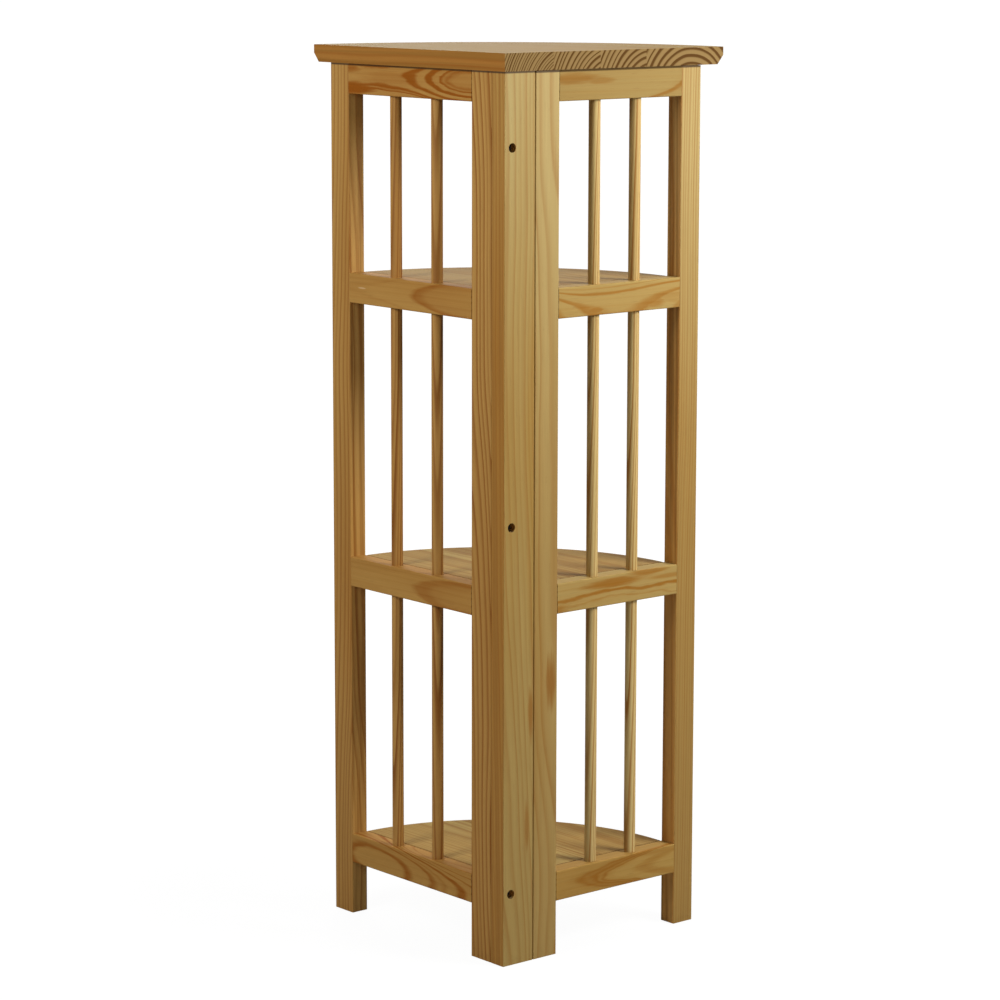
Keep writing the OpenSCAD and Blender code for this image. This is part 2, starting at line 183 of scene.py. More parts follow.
def makeFigureGroup(s):
    group, start, end = newGroup(
        "pineFigure",
        [("Place", "Vector", None), ("Ring Width", "Float", 0.004), ("Bend", "Float", 0.01),
         ("Wave", "Float", 0.5)],
        [("Late Wood", "Float"), ("Fibre", "Float"), ("Tone", "Float"), ("Pore", "Float")],
    )
    place = start.outputs["Place"]
    bend = noiseNode(group, place, s["bendScale"], detail=1.5, output="Color")
    bend = vectorNode(group, "SUBTRACT", bend, (0.5, 0.5, 0.5))
    strength = addNode(group, "ShaderNodeVectorMath", operation="SCALE")
    put(group, strength.inputs[0], bend)
    put(group, strength.inputs["Scale"], start.outputs["Bend"])
    bent = vectorNode(group, "ADD", place, strength.outputs[0])
    flat = vectorNode(group, "MULTIPLY", bent, (1, 1, 0))
    rings = mathNode(group, "DIVIDE", vectorNode(group, "LENGTH", flat), start.outputs["Ring Width"])
    wave = mathNode(group, "SUBTRACT", noiseNode(group, place, s["waveScale"]), 0.5)
    rings = addScaled(group, rings, wave, start.outputs["Wave"])
    uneven = addNode(group, "ShaderNodeTexNoise", noise_dimensions="1D")
    put(group, uneven.inputs["W"], mathNode(group, "MULTIPLY", rings, s["unevenRate"]))
    uneven.inputs["Scale"].default_value = 1.0
    rings = addScaled(group, rings, uneven.outputs["Fac"], s["unevenRings"])
    stops = [(part, grey(level)) for part, level in s["ringRamp"]]
    late = rampNode(group, mathNode(group, "FRACT", rings), stops)
    year = addNode(group, "ShaderNodeTexWhiteNoise", noise_dimensions="1D")
    put(group, year.inputs["W"], mathNode(group, "FLOOR", rings))
    shade = rangeNode(group, year.outputs["Value"], 0, 1, *s["yearShade"], smooth=False)
    put(group, end.inputs["Late Wood"], mathNode(group, "MULTIPLY", late, shade))
    put(group, end.inputs["Fibre"], noiseNode(group, place, s["fibreScale"], detail=3.0, roughness=0.6))
    put(group, end.inputs["Tone"], noiseNode(group, bent, s["toneScale"]))
    pore = noiseNode(group, place, s["poreScale"], detail=1.0)
    put(group, end.inputs["Pore"], rangeNode(group, pore, *s["poreRange"]))
    return group


# Edge-glued staves side by side: each one is cut from its own place in the log
staveSettings = {
    "axis": "X",
    "width": 0.066,
    "spread": (0.16, 0.09, 4.0),  # how far apart in the log the staves are cut
    "jointRange": (0.0001, 0.0004),
    "ringShare": 0.01,  # a ramp holds 0 to 1, so ring widths go through it as shares of 10 mm
}


def makeStaveGroup(s):
    group, start, end = newGroup(
        "gluedStaves",
        [("Across", "Float", 0.0), ("Stave Width", "Float", s["width"]), ("Seed", "Float", 0.0),
         ("Spread", "Vector", None)],
        [("Shift", "Vector"), ("Tone", "Float"), ("Joint", "Float")],
    )
    count = mathNode(group, "DIVIDE", start.outputs["Across"], start.outputs["Stave Width"])
    index = mathNode(group, "ADD", mathNode(group, "FLOOR", count), start.outputs["Seed"])
    chance = addNode(group, "ShaderNodeTexWhiteNoise", noise_dimensions="1D")
    put(group, chance.inputs["W"], index)
    shift = vectorNode(group, "SUBTRACT", chance.outputs["Color"], (0.5, 0.5, 0.5))
    put(group, end.inputs["Shift"], vectorNode(group, "MULTIPLY", shift, start.outputs["Spread"]))
    put(group, end.inputs["Tone"], chance.outputs["Value"])
    part = mathNode(group, "FRACT", count)
    edge = mathNode(group, "MINIMUM", part, mathNode(group, "SUBTRACT", 1.0, part))
    gap = mathNode(group, "MULTIPLY", edge, start.outputs["Stave Width"])
    put(group, end.inputs["Joint"], rangeNode(group, gap, *s["jointRange"], 1.0, 0.0))
    return group


figureGroup = makeFigureGroup(figureSettings)
staveGroup = makeStaveGroup(staveSettings)
print("wood groups made")

# Colours of the wood under the clear finish: early wood, late wood, and the warmer early wood of its clouds
woodTones = {
    # amber, amberRail and dowel, for the left panel's parts (dowel also for the top pegs): partly the wood's
    # own warmer colour, partly painted shade of the bookcase's left side
    "straw": ((0.45, 0.330, 0.125, 1), (0.29, 0.130, 0.024, 1), (0.37, 0.225, 0.062, 1)),
    "boardStraw": ((0.460, 0.378, 0.155, 1), (0.29, 0.130, 0.024, 1), (0.36, 0.213, 0.050, 1)),
    "honey": ((0.465, 0.300, 0.088, 1), (0.31, 0.130, 0.020, 1), (0.40, 0.225, 0.050, 1)),
    "amber": ((0.47, 0.262, 0.070, 1), (0.23, 0.078, 0.009, 1), (0.37, 0.168, 0.032, 1)),
    "amberRail": ((0.46, 0.258, 0.070, 1), (0.27, 0.080, 0.008, 1), (0.38, 0.180, 0.036, 1)),
    "dimRail": ((0.35, 0.250, 0.090, 1), (0.26, 0.110, 0.017, 1), (0.32, 0.190, 0.050, 1)),
    "strawRail": ((0.44, 0.315, 0.110, 1), (0.32, 0.135, 0.020, 1), (0.39, 0.230, 0.060, 1)),
    # straw lightened: painted light on the right dowels
    "strawDowelLit": ((0.66, 0.500, 0.205, 1), (0.36, 0.160, 0.032, 1), (0.56, 0.372, 0.125, 1)),
    "dowel": ((0.47, 0.255, 0.068, 1), (0.23, 0.082, 0.012, 1), (0.38, 0.170, 0.034, 1)),
    "shelf": ((0.435, 0.300, 0.098, 1), (0.225, 0.098, 0.018, 1), (0.345, 0.198, 0.052, 1)),
    "top": ((0.42, 0.295, 0.102, 1), (0.26, 0.125, 0.026, 1), (0.36, 0.215, 0.060, 1)),
}
finishSettings = {
    "satin": {"roughness": 0.52, "specular": 0.14},
    "rail": {"roughness": 0.64, "specular": 0.02},
    "board": {"roughness": 0.66, "specular": 0.02},  # the flat boards are rubbed duller
}
woodLook = {
    "wave": 0.5,
    "toneRange": (0.38, 0.72),
    "toneShare": 0.65,
    "shadeBelowHeights": (0.45, 0.92),  # painted shade on the uprights, fullest below the first height and gone above the second
    "stripeScale": (90, 90, 1.4),
    "stripeRange": (0.46, 0.62),
    "fibreRange": (0.25, 0.75),
    "fibreShade": (0.93, 1.05),
    "staveShare": 0.5,  # how much the staves differ in tone
    "jointShare": 0.22,
    "jointColour": (0.10, 0.05, 0.02, 1),
    "poreShare": 0.28,
    "poreColour": (0.20, 0.09, 0.03, 1),
    "endFacing": (0.55, 0.85),  # cut ends are darker and drink more of the finish
    "endRings": (0.10, 0.62),
    "endEarly": (0.262, 0.166, 0.062, 1),
    "endLate": (0.100, 0.046, 0.013, 1),
    "sideShadingFacing": (0.5, 0.9),
    "edgeScale": (170, 170, 1.6),
    "edgeRange": (0.44, 0.60),
    "edgeShare": 0.55,
    "capDepths": (0.0026, 0.0013),  # shadow of the open joint under the top board
    "capShadowShare": 0.9,
    "capUpward": (0.85, 0.97),
    "capShadowColour": (0.05, 0.025, 0.01, 1),
    "scratchRange": (0.7, 1.3),
    "scratchShare": 0.5,
    "scratchColour": (0.66, 0.46, 0.25, 1),
    "fibreRough": 0.12,
    "endRough": 0.18,
    "fibreHeight": 0.5,
    "poreDepth": 0.8,
    "lateHeight": 0.5,
    "bumpStrength": 0.5,
    "bumpDistance": 0.00006,
}
woodDefaults = {
    "lean": (0, 0),  # degrees by which the grain leans off the piece's length
    "ring": 0.004,
    "bend": 0.010,
    "contrast": 1.0,
    "shadeBelow": 0.0,
    "streak": 0.0,
    "sideShading": None,
    "sideShadingAxis": (1, 0, 0),
    "capAt": None,
    "flames": (),
    "staves": None,
    "face": None,
    "finish": "satin",
}
stainSettings = {"scale": (0.03, 0.30, 1.0), "fray": 0.9, "range": (0.9, 1.75)}  # on rails, in millimetres
flameSettings = {"scale": (300, 0, 22), "fray": 0.9, "range": (0.7, 1.5)}  # on posts, in metres
throughAll = 1000.0  # half size of a patch that goes right through the piece
mmPerMetre = 1000.0
grainTurns = {
    "X": Euler((0, -math.pi / 2, 0)).to_matrix(),
    "Y": Euler((math.pi / 2, 0, 0)).to_matrix(),
    "Z": Matrix.Identity(3),
}
grainAxes = {"X": (1, 0, 0), "Y": (0, 1, 0), "Z": (0, 0, 1)}


def grainMapping(tree, place, grain, pith, lean):
    # Turns the grain to Z, leans it a little and brings the pith to the axis
    tilt = Euler((math.radians(lean[0]), math.radians(lean[1]), 0)).to_matrix()
    turn = tilt @ grainTurns[grain]
    node = addNode(tree, "ShaderNodeMapping")
    put(tree, node.inputs["Vector"], place)
    node.inputs["Rotation"].default_value = turn.to_euler()
    node.inputs["Location"].default_value = -(turn @ Vector(pith))
    return node.outputs["Vector"]


def cutStaves(tree, axes, grainPlace, ring, s):
    glued = addNode(tree, "ShaderNodeGroup", node_tree=staveGroup)
    across = mathNode(tree, "SUBTRACT", axes.outputs[s["axis"]], s["start"])
    put(tree, glued.inputs["Across"], across)
    glued.inputs["Stave Width"].default_value = s["width"]
    glued.inputs["Seed"].default_value = s["seed"]
    glued.inputs["Spread"].default_value = s["spread"]
    logs = s["logs"]
    if not logs:
        return glued, vectorNode(tree, "ADD", grainPlace, glued.outputs["Shift"]), ring
    # Each stave's pith is chosen: across and up from the board's start, then its ring width
    stops = [(i / len(logs), (pithAcross, -pithUp, width / s["ringShare"], 1))
             for i, (pithAcross, pithUp, width) in enumerate(logs)]
    share = mathNode(tree, "DIVIDE", across, s["width"] * len(logs))
    parts = addNode(tree, "ShaderNodeSeparateColor")
    put(tree, parts.inputs[0], rampNode(tree, share, stops, interpolation="CONSTANT"))
    shift = addNode(tree, "ShaderNodeCombineXYZ")
    put(tree, shift.inputs[0], mathNode(tree, "MULTIPLY", parts.outputs[0], -1.0))
    put(tree, shift.inputs[1], mathNode(tree, "MULTIPLY", parts.outputs[1], -1.0))
    ring = mathNode(tree, "MULTIPLY", parts.outputs[2], s["ringShare"])
    return glued, vectorNode(tree, "ADD", grainPlace, shift.outputs[0]), ring


def brownPatch(tree, place, centre, sizes, strength, s):  # its border frays along the grain
    streaks = noiseNode(tree, place, s["scale"], detail=3.0)
    reach = vectorNode(tree, "LENGTH", awayFrom(tree, place, centre, sizes))
    reach = addScaled(tree, reach, streaks, s["fray"])
    return rangeNode(tree, reach, *s["range"], strength, 0.0)


def capShadow(tree, axes, normal, top):
    deep, shallow = woodLook["capDepths"]
    cap = rangeNode(tree, axes.outputs["Z"], top - deep, top - shallow, 0.0, woodLook["capShadowShare"])
    upward = vectorNode(tree, "DOT_PRODUCT", normal, (0, 0, 1))
    return mathNode(tree, "MULTIPLY", cap, rangeNode(tree, upward, *woodLook["capUpward"], 1.0, 0.0))


def scratchMask(tree, place, face):
    along, up, length, width = (v / mmPerMetre for v in face["settings"]["scratch"])
    centre, sizes = face["centre"].copy(), Vector((throughAll, throughAll, width / 2))
    centre += Vector(grainAxes[face["grain"]]) * along + Vector((0, 0, up))
    sizes["XYZ".index(face["grain"])] = length / 2
    reach = vectorNode(tree, "LENGTH", awayFrom(tree, place, centre, sizes))
    return rangeNode(tree, reach, *woodLook["scratchRange"], woodLook["scratchShare"], 0.0)


def woodMaterial(name, grain, pith, settings):
    s, look = {**woodDefaults, **settings}, woodLook
    early, late, warm = woodTones[s["tone"]]
    material = bpy.data.materials.new(name)
    material.use_nodes = True
    tree = material.node_tree
    shader = tree.nodes["Principled BSDF"]
    coords = addNode(tree, "ShaderNodeTexCoord")
    place, normal = coords.outputs["Object"], coords.outputs["Normal"]
    axes = addNode(tree, "ShaderNodeSeparateXYZ")
    put(tree, axes.inputs[0], place)
    grainPlace = grainMapping(tree, place, grain, pith, s["lean"])
    glued, ring = None, s["ring"]
    if s["staves"]:
        glued, grainPlace, ring = cutStaves(tree, axes, grainPlace, ring, s["staves"])
    figure = addNode(tree, "ShaderNodeGroup", node_tree=figureGroup)
    put(tree, figure.inputs["Place"], grainPlace)
    put(tree, figure.inputs["Ring Width"], ring)
    figure.inputs["Bend"].default_value = s["bend"]
    figure.inputs["Wave"].default_value = look["wave"]

    # Where the late wood lies
    lateMask = mathNode(tree, "MULTIPLY", figure.outputs["Late Wood"], s["contrast"], clamp=True)
    if s["face"]:
        lateMask = mathNode(tree, "ADD", lateMask, railFigure(tree, axes, s["face"], railLook), clamp=True)
    for strength, across, up, halfWidth, halfHeight in s["flames"]:
        sizes = (halfWidth, throughAll, halfHeight)
        patch = brownPatch(tree, place, (across, 0, up), sizes, strength, flameSettings)
        lateMask = mathNode(tree, "MAXIMUM", lateMask, patch)

    # Long-grain colour: clouds of tone, late wood, broad stripes, fibres, staves and pores
    toneMask = rangeNode(tree, figure.outputs["Tone"], *look["toneRange"], 0.0, look["toneShare"])
    # Painted shade: the uprights darker and warmer towards the floor
    if s["shadeBelow"]:
        paintedShadeBelow = rangeNode(tree, axes.outputs["Z"], *look["shadeBelowHeights"], s["shadeBelow"], 0.0)
        toneMask = mathNode(tree, "ADD", toneMask, paintedShadeBelow, clamp=True)
    colour = mixColour(tree, lateMask, mixColour(tree, toneMask, early, warm), late)
    if s["streak"]:
        stripes = noiseNode(tree, grainPlace, look["stripeScale"], detail=2.5)
        stripes = rangeNode(tree, stripes, *look["stripeRange"], 0.0, s["streak"])
        colour = mixColour(tree, stripes, colour, late)
    fibre = rangeNode(tree, figure.outputs["Fibre"], *look["fibreRange"], *look["fibreShade"], smooth=False)
    fibreColour = addNode(tree, "ShaderNodeCombineColor")
    for socket in fibreColour.inputs[:3]:
        put(tree, socket, fibre)
    colour = mixColour(tree, 1.0, colour, fibreColour.outputs[0], "MULTIPLY")
    if glued:
        staveTone = rangeNode(tree, glued.outputs["Tone"], 0, 1, 0.0, look["staveShare"], smooth=False)
        colour = mixColour(tree, staveTone, colour, warm)
        jointShade = mathNode(tree, "MULTIPLY", glued.outputs["Joint"], look["jointShare"])
        colour = mixColour(tree, jointShade, colour, look["jointColour"])
    poreShade = mathNode(tree, "MULTIPLY", figure.outputs["Pore"], look["poreShare"])
    colour = mixColour(tree, poreShade, colour, look["poreColour"])

    # Cut ends; narrow sides with painted light or shade, partly the boards' own warmer tone; the painted
    # shadow of the open joint under the top board; and a scratch
    cutEnd = rangeNode(tree, facing(tree, normal, grainAxes[grain]), *look["endFacing"])
    endRings = rangeNode(tree, figure.outputs["Late Wood"], *look["endRings"])
    colour = mixColour(tree, cutEnd, colour, mixColour(tree, endRings, look["endEarly"], look["endLate"]))
    # Painted light or shade on the sides that look along the given axis: lighter on the outer posts, warmer
    # and darker on the corner board and top board
    if s["sideShading"]:
        sideColour = mixColour(tree, 1.0, colour, s["sideShading"], "MULTIPLY")
        streaks = noiseNode(tree, grainPlace, look["edgeScale"], detail=2.5)
        streaks = rangeNode(tree, streaks, *look["edgeRange"], 0.0, look["edgeShare"])
        side = rangeNode(tree, facing(tree, normal, s["sideShadingAxis"]), *look["sideShadingFacing"])
        colour = mixColour(tree, side, colour, mixColour(tree, streaks, sideColour, late))
    if s["capAt"]:
        # painted shadow of the open joint under the top board
        colour = mixColour(tree, capShadow(tree, axes, normal, s["capAt"]), colour, look["capShadowColour"])
    if s["face"] and "scratch" in s["face"]["settings"]:
        colour = mixColour(tree, scratchMask(tree, place, s["face"]), colour, look["scratchColour"])
    put(tree, shader.inputs["Base Color"], colour)

    finish = finishSettings[s["finish"]]
    fibreOff = mathNode(tree, "SUBTRACT", figure.outputs["Fibre"], 0.5)
    rough = addScaled(tree, finish["roughness"], fibreOff, look["fibreRough"])
    put(tree, shader.inputs["Roughness"], addScaled(tree, rough, cutEnd, look["endRough"]))
    shader.inputs["Specular IOR Level"].default_value = finish["specular"]
    ridges = mathNode(tree, "MULTIPLY", figure.outputs["Fibre"], look["fibreHeight"])
    pits = mathNode(tree, "MULTIPLY", figure.outputs["Pore"], look["poreDepth"])
    height = mathNode(tree, "SUBTRACT", ridges, pits)
    bump = addNode(tree, "ShaderNodeBump")
    bump.inputs["Strength"].default_value = look["bumpStrength"]
    bump.inputs["Distance"].default_value = look["bumpDistance"]
    put(tree, bump.inputs["Height"], addScaled(tree, height, lateMask, look["lateHeight"]))
    put(tree, shader.inputs["Normal"], bump.outputs["Normal"])
    return material


def dress(node, material):
    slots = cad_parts[node].data.materials
    if len(slots) == 0:
        slots.append(material)
    for i in range(len(slots)):
        slots[i] = material


def middle(node):
    low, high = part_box(node)
    return (Vector(low) + Vector(high)) / 2


# Posts and the corner board: upright grain, the pith well to one side, so the face shows long close lines
# Flames of branch wood: strength, across from the side with the lowest X, up, half width and half height
# shadeBelow paints shade on the lower part of each upright
postSettings = {
    # the left panel's posts take amber: partly painted shade
    "left_corner_post": {"tone": "amber", "pith": (0.045, 0.042, 0), "lean": (0.6, -1.5), "ring": 0.0048,
                         "bend": 0.034, "shadeBelow": 0.25},
    "left_outer_post": {"tone": "amber", "pith": (0.034, 0.040, 0), "lean": (-0.8, 0.9), "ring": 0.0044,
                        "bend": 0.026, "contrast": 0.8, "shadeBelow": 0.25,
                        # painted light: its sides that look along Y are lightened
                        "sideShading": (1.28, 1.40, 1.60, 1), "sideShadingAxis": (0, 1, 0)},
    "corner_board": {"tone": "boardStraw", "pith": (-0.042, 0.055, 0), "lean": (0.8, 0.5), "ring": 0.0046,
                     # its sides that look along X take a warmer, darker tone: partly the wood's own, partly
                     # painted shade
                     "bend": 0.026, "contrast": 0.62, "shadeBelow": 0.7, "sideShading": (0.98, 0.74, 0.50, 1),
                     "flames": ((0.9, 0.038, 0.272, 0.0055, 0.042), (0.8, 0.033, 0.150, 0.0050, 0.045))},
    "right_corner_post": {"tone": "straw", "pith": (0.022, 0.060, 0), "lean": (-0.9, 0.3), "ring": 0.0050,
                          "bend": 0.026, "contrast": 0.6, "shadeBelow": 0.68,
                          "flames": ((1.0, 0.0235, 0.306, 0.0095, 0.042),)},
    "right_outer_post": {"tone": "straw", "pith": (0.085, 0.026, 0), "lean": (0.4, -0.3), "ring": 0.0036,
                         # painted light: its sides that look along X are lightened
                         "bend": 0.016, "contrast": 0.9, "shadeBelow": 1.1, "sideShading": (1.65, 1.45, 1.40, 1)},
}
for post, s in postSettings.items():
    low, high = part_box(post)
    flames = [(strength, low[0] + across, *rest) for strength, across, *rest in s.get("flames", ())]
    pith = middle(post) + Vector(s["pith"])
    dress(post, woodMaterial("pine_" + post, "Z", pith, {**s, "capAt": high[2], "flames": flames}))
print("posts dressed")

# Rails: each is flat-sawn and shows its own few tongues, drawn as level lines of a smooth field on the face
# Lengths are in millimetres from the middle of the face, along the rail and up
# The field adds up: push (strength, start, reach) a step along the rail; curve (strength, middle) the height
# squared; slope; swells (strength, place, half sizes) round humps; wobble noise
# lines gives how dark the wood is at each level; stains are brown patches (strength, place, half sizes);
# scratch is a pale mark (place, length, width)
railSettings = {
    # the left rails take amberRail: partly painted shade
    "left_top_rail": {"tone": "amberRail", "push": (-2.2, -35, 43), "curve": (-0.76, 5), "wobble": 1.04,
                      "lines": ((-3.95, 0.3), (-3.7, 1.0), (-3.3, 0.5), (-3.1, 1.0), (-2.8, 0.9), (-2.5, 0.2),
                                (-2.1, 0.15), (-1.85, 0.4), (-1.65, 1.0), (-1.25, 0.9), (-0.95, 0.2),
                                (-0.45, 0.15), (-0.22, 1.0), (0.16, 1.0), (0.36, 0.3), (0.72, 0.2),
                                (0.88, 1.0), (1.12, 0.4), (1.35, 0.75), (1.6, 0.3), (2.2, 0.2)),
                      "stains": ((1.0, 98, -10, 46, 8), (0.7, 106, 12, 24, 6), (0.4, 36, 2, 60, 11))},
    "left_upper_rail": {"tone": "amberRail", "push": (-2.4, -14, 70), "curve": (-0.62, 1), "wobble": 0.56,
                        "lines": ((-2.6, 0.12), (-2.3, 0.25), (-2.0, 0.08), (-0.5, 0.08), (-0.15, 0.7),
                                  (0.15, 0.55), (0.5, 0.28), (1.4, 0.2), (2.2, 0.12)),
                        "scratch": (83, 1.3, 13, 1.8)},
    "left_middle_rail": {"tone": "amberRail", "push": (-2.4, -14, 70), "curve": (-0.66, -2), "wobble": 0.88,
                         "lines": ((-2.6, 0.15), (-2.2, 0.06), (-0.6, 0.08), (-0.15, 0.55), (0.4, 0.55),
                                   (0.9, 0.32), (1.6, 0.2), (2.2, 0.1))},
    "left_bottom_rail": {"tone": "amberRail", "slope": (-0.11, 0.14), "wobble": 0.36,
                         "swells": ((-3.51, 53, 3, 124, 50), (4.01, -34, 30, 101, 18)),
                         "lines": ((-4.2, 0.2), (-3.85, 0.15), (-3.68, 0.5), (-3.5, 0.12), (-3.15, 0.1),
                                   (-3.0, 0.8), (-2.9, 0.75), (-2.7, 0.12), (-2.15, 0.1), (-2.0, 0.75),
                                   (-1.9, 0.6), (-1.72, 0.12), (-1.5, 0.4), (-1.35, 0.1), (-1.12, 0.1),
                                   (-0.98, 0.8), (-0.84, 0.85), (-0.7, 0.12), (-0.48, 0.1), (-0.38, 0.7),
                                   (-0.26, 0.1), (0.12, 0.1), (0.24, 0.7), (0.36, 0.08), (0.95, 0.08),
                                   (1.15, 0.5), (1.35, 0.08), (2.1, 0.08), (2.4, 0.4), (2.8, 0.1))},
    "right_top_rail": {"tone": "dimRail", "slope": (4.0, -0.7), "curve": (0.35, 0), "wobble": 0.8,
                       "lines": ((-5.0, 0.08), (3.0, 0.05), (3.4, 0.15), (3.6, 0.8), (3.85, 0.75),
                                 (4.15, 0.2), (5.5, 0.12)),
                       "stains": ((0.7, -70, 7, 44, 6), (0.55, -30, 4, 22, 4))},
    "right_upper_rail": {"tone": "strawRail", "slope": (-0.67, 1.67), "wobble": 0.4,
                         "swells": ((4.97, 18, -30, 150, 27), (-1.93, -130, 3, 52, 20)),
                         "lines": ((-1.1, 0.1), (-0.92, 0.08), (-0.78, 0.5), (-0.6, 0.1), (-0.26, 0.08),
                                   (-0.12, 0.65), (0.04, 0.6), (0.2, 0.12), (0.72, 0.08), (0.86, 0.8),
                                   (1.0, 0.7), (1.16, 0.15), (1.7, 0.08), (1.86, 0.8), (2.0, 0.7),
                                   (2.16, 0.1), (2.44, 0.08), (2.56, 0.5), (2.68, 0.08), (3.1, 0.08),
                                   (3.22, 0.4), (3.36, 0.08), (4.2, 0.25)),
                         "stains": ((0.8, -36, -11, 14, 4), (0.65, 50, -9, 18, 6), (0.35, 84, -4, 34, 7))},
    "right_middle_rail": {"tone": "strawRail", "slope": (0, 1.0), "wobble": 1.04,
                          "swells": ((-0.3, -10, -4, 50, 20),),
                          "lines": ((-1.7, 0.1), (-1.25, 0.1), (-1.1, 0.5), (-0.95, 0.1), (-0.62, 0.15),
                                    (-0.42, 0.9), (-0.24, 0.9), (-0.05, 0.12), (0.6, 0.05), (0.75, 0.3),
                                    (0.9, 0.08), (1.8, 0.1)),
                          "stains": ((0.9, -8, 8, 46, 5.5), (0.75, 44, 14, 30, 4), (0.6, 82, 6, 44, 3),
                                     (0.8, -100, -12, 34, 5))},
    "right_bottom_rail": {"tone": "honey", "slope": (2.0, 0), "curve": (-0.55, -1), "wobble": 0.8,
                          "lines": ((-4.5, 0.35), (-2.3, 0.3), (-1.5, 0.32), (-1.2, 0.45), (-1.0, 0.9),
                                    (-0.8, 0.7), (-0.62, 1.0), (-0.48, 0.6), (-0.34, 0.9), (-0.2, 0.35),
                                    (0.05, 0.15), (0.45, 0.14), (0.65, 0.45), (0.95, 0.55), (1.2, 0.4),
                                    (1.4, 0.12), (1.65, 0.08), (1.85, 0.3), (2.2, 0.1)),
                          "stains": ((0.75, -38, 0, 15, 11), (0.45, 62, 13, 44, 4))},
}
railLook = {
    "foldRate": 0.8,  # the figure folds over the rail's edge: up goes on with the depth behind the face
    "seedRate": 700.0,  # rails at other heights draw other noise
    "wobbleScale": (0.022, 0.085, 1.0),
    "slopeUnits": (100.0, 10.0),  # slopes are given for so many millimetres along and up
}
railWood = {"pith": (0.03, 0.03, -0.03), "lean": (0.5, 0.5), "ring": 0.0045, "contrast": 0.16,
            "finish": "rail"}


def railFigure(tree, axes, face, look):
    grain, centre, s = face["grain"], face["centre"], face["settings"]
    along = mathNode(tree, "SUBTRACT", axes.outputs[grain], centre["XYZ".index(grain)])
    along = mathNode(tree, "MULTIPLY", along, mmPerMetre)
    depth = mathNode(tree, "SUBTRACT", axes.outputs["X" if grain == "Y" else "Y"], face["front"])
    depth = mathNode(tree, "MULTIPLY", depth, mmPerMetre * look["foldRate"])
    height = mathNode(tree, "SUBTRACT", axes.outputs["Z"], centre[2])
    up = mathNode(tree, "ADD", mathNode(tree, "MULTIPLY", height, mmPerMetre), depth)
    seed = centre[2] * look["seedRate"]
    flat = addNode(tree, "ShaderNodeCombineXYZ")
    for socket, value in zip(flat.inputs, (along, up, seed)):
        put(tree, socket, value)
    place = flat.outputs[0]
    alongUnit, upUnit = look["slopeUnits"]
    wobble = mathNode(tree, "SUBTRACT", noiseNode(tree, place, look["wobbleScale"], detail=3.0), 0.5)
    field = mathNode(tree, "MULTIPLY", wobble, s["wobble"])
    if "push" in s:
        strength, start, reach = s["push"]
        step = mathNode(tree, "DIVIDE", mathNode(tree, "SUBTRACT", along, start), reach)
        field = addScaled(tree, field, mathNode(tree, "TANH", step), strength)
    if "curve" in s:
        strength, level = s["curve"]
        off = mathNode(tree, "DIVIDE", mathNode(tree, "SUBTRACT", up, level), upUnit)
        field = addScaled(tree, field, mathNode(tree, "MULTIPLY", off, off), strength)
    if "slope" in s:
        field = addScaled(tree, field, along, s["slope"][0] / alongUnit)
        field = addScaled(tree, field, up, s["slope"][1] / upUnit)
    for strength, humpAlong, humpUp, length, tall in s.get("swells", ()):
        away = awayFrom(tree, place, (humpAlong, humpUp, seed), (length, tall, 1.0))
        fall = mathNode(tree, "MULTIPLY", vectorNode(tree, "DOT_PRODUCT", away, away), -1.0)
        field = addScaled(tree, field, mathNode(tree, "EXPONENT", fall), strength)
    first, last = s["lines"][0][0], s["lines"][-1][0]
    stops = [((level - first) / (last - first), grey(dark)) for level, dark in s["lines"]]
    drawn = rampNode(tree, rangeNode(tree, field, first, last, smooth=False), stops)
    for strength, stainAlong, stainUp, length, tall in s.get("stains", ()):
        spot, sizes = (stainAlong, stainUp, seed), (length, tall, 1.0)
        patch = brownPatch(tree, place, spot, sizes, strength, stainSettings)
        drawn = mathNode(tree, "MAXIMUM", drawn, patch)
    return drawn


for rail, s in railSettings.items():
    grain = "Y" if rail.startswith("left") else "X"
    low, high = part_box(rail)
    front = low[0] if grain == "Y" else low[1]
    face = {"grain": grain, "centre": middle(rail), "front": front, "settings": s}
    wood = {**railWood, "tone": s["tone"], "face": face, "capAt": high[2] if "top" in rail else None}
    dress(rail, woodMaterial("pine_" + rail, grain, middle(rail) + Vector(railWood["pith"]), wood))
print("rails dressed")

# Dowels and cleats: fine straight grain, each cut a step further round its log
stickSettings = {
    "dowel": {"pith": (0.05, 0.04, 0), "step": (0.007, -0.011, 0), "lean": (0.6, -0.5), "ring": 0.0032,
              "bend": 0.012, "contrast": 1.2},
    "cleat": {"pith": (0.03, 0.03, 0.02), "step": (0.004, 0, -0.006), "lean": (0.8, 0.6), "ring": 0.0032,
              "bend": 0.008, "contrast": 0.6},
}


def dressStick(number, node, kind, grain, tone):
    s = stickSettings[kind]
    pith = middle(node) + Vector(s["pith"]) + number * Vector(s["step"])
    dress(node, woodMaterial("pine_" + node, grain, pith, {**s, "tone": tone}))


# right dowels take a lightened straw (painted light); the others and the top pegs a deeper amber, partly
# painted shade
for number, node in enumerate(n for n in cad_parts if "dowels" in n or n == "top_pegs"):
    dressStick(number, node, "dowel", "Z", "strawDowelLit" if node.startswith("right") else "dowel")
for number, node in enumerate(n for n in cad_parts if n.endswith("cleat")):
    dressStick(number, node, "cleat", "Y" if node.startswith("left") else "X", "straw")
print("dowels and cleats dressed")

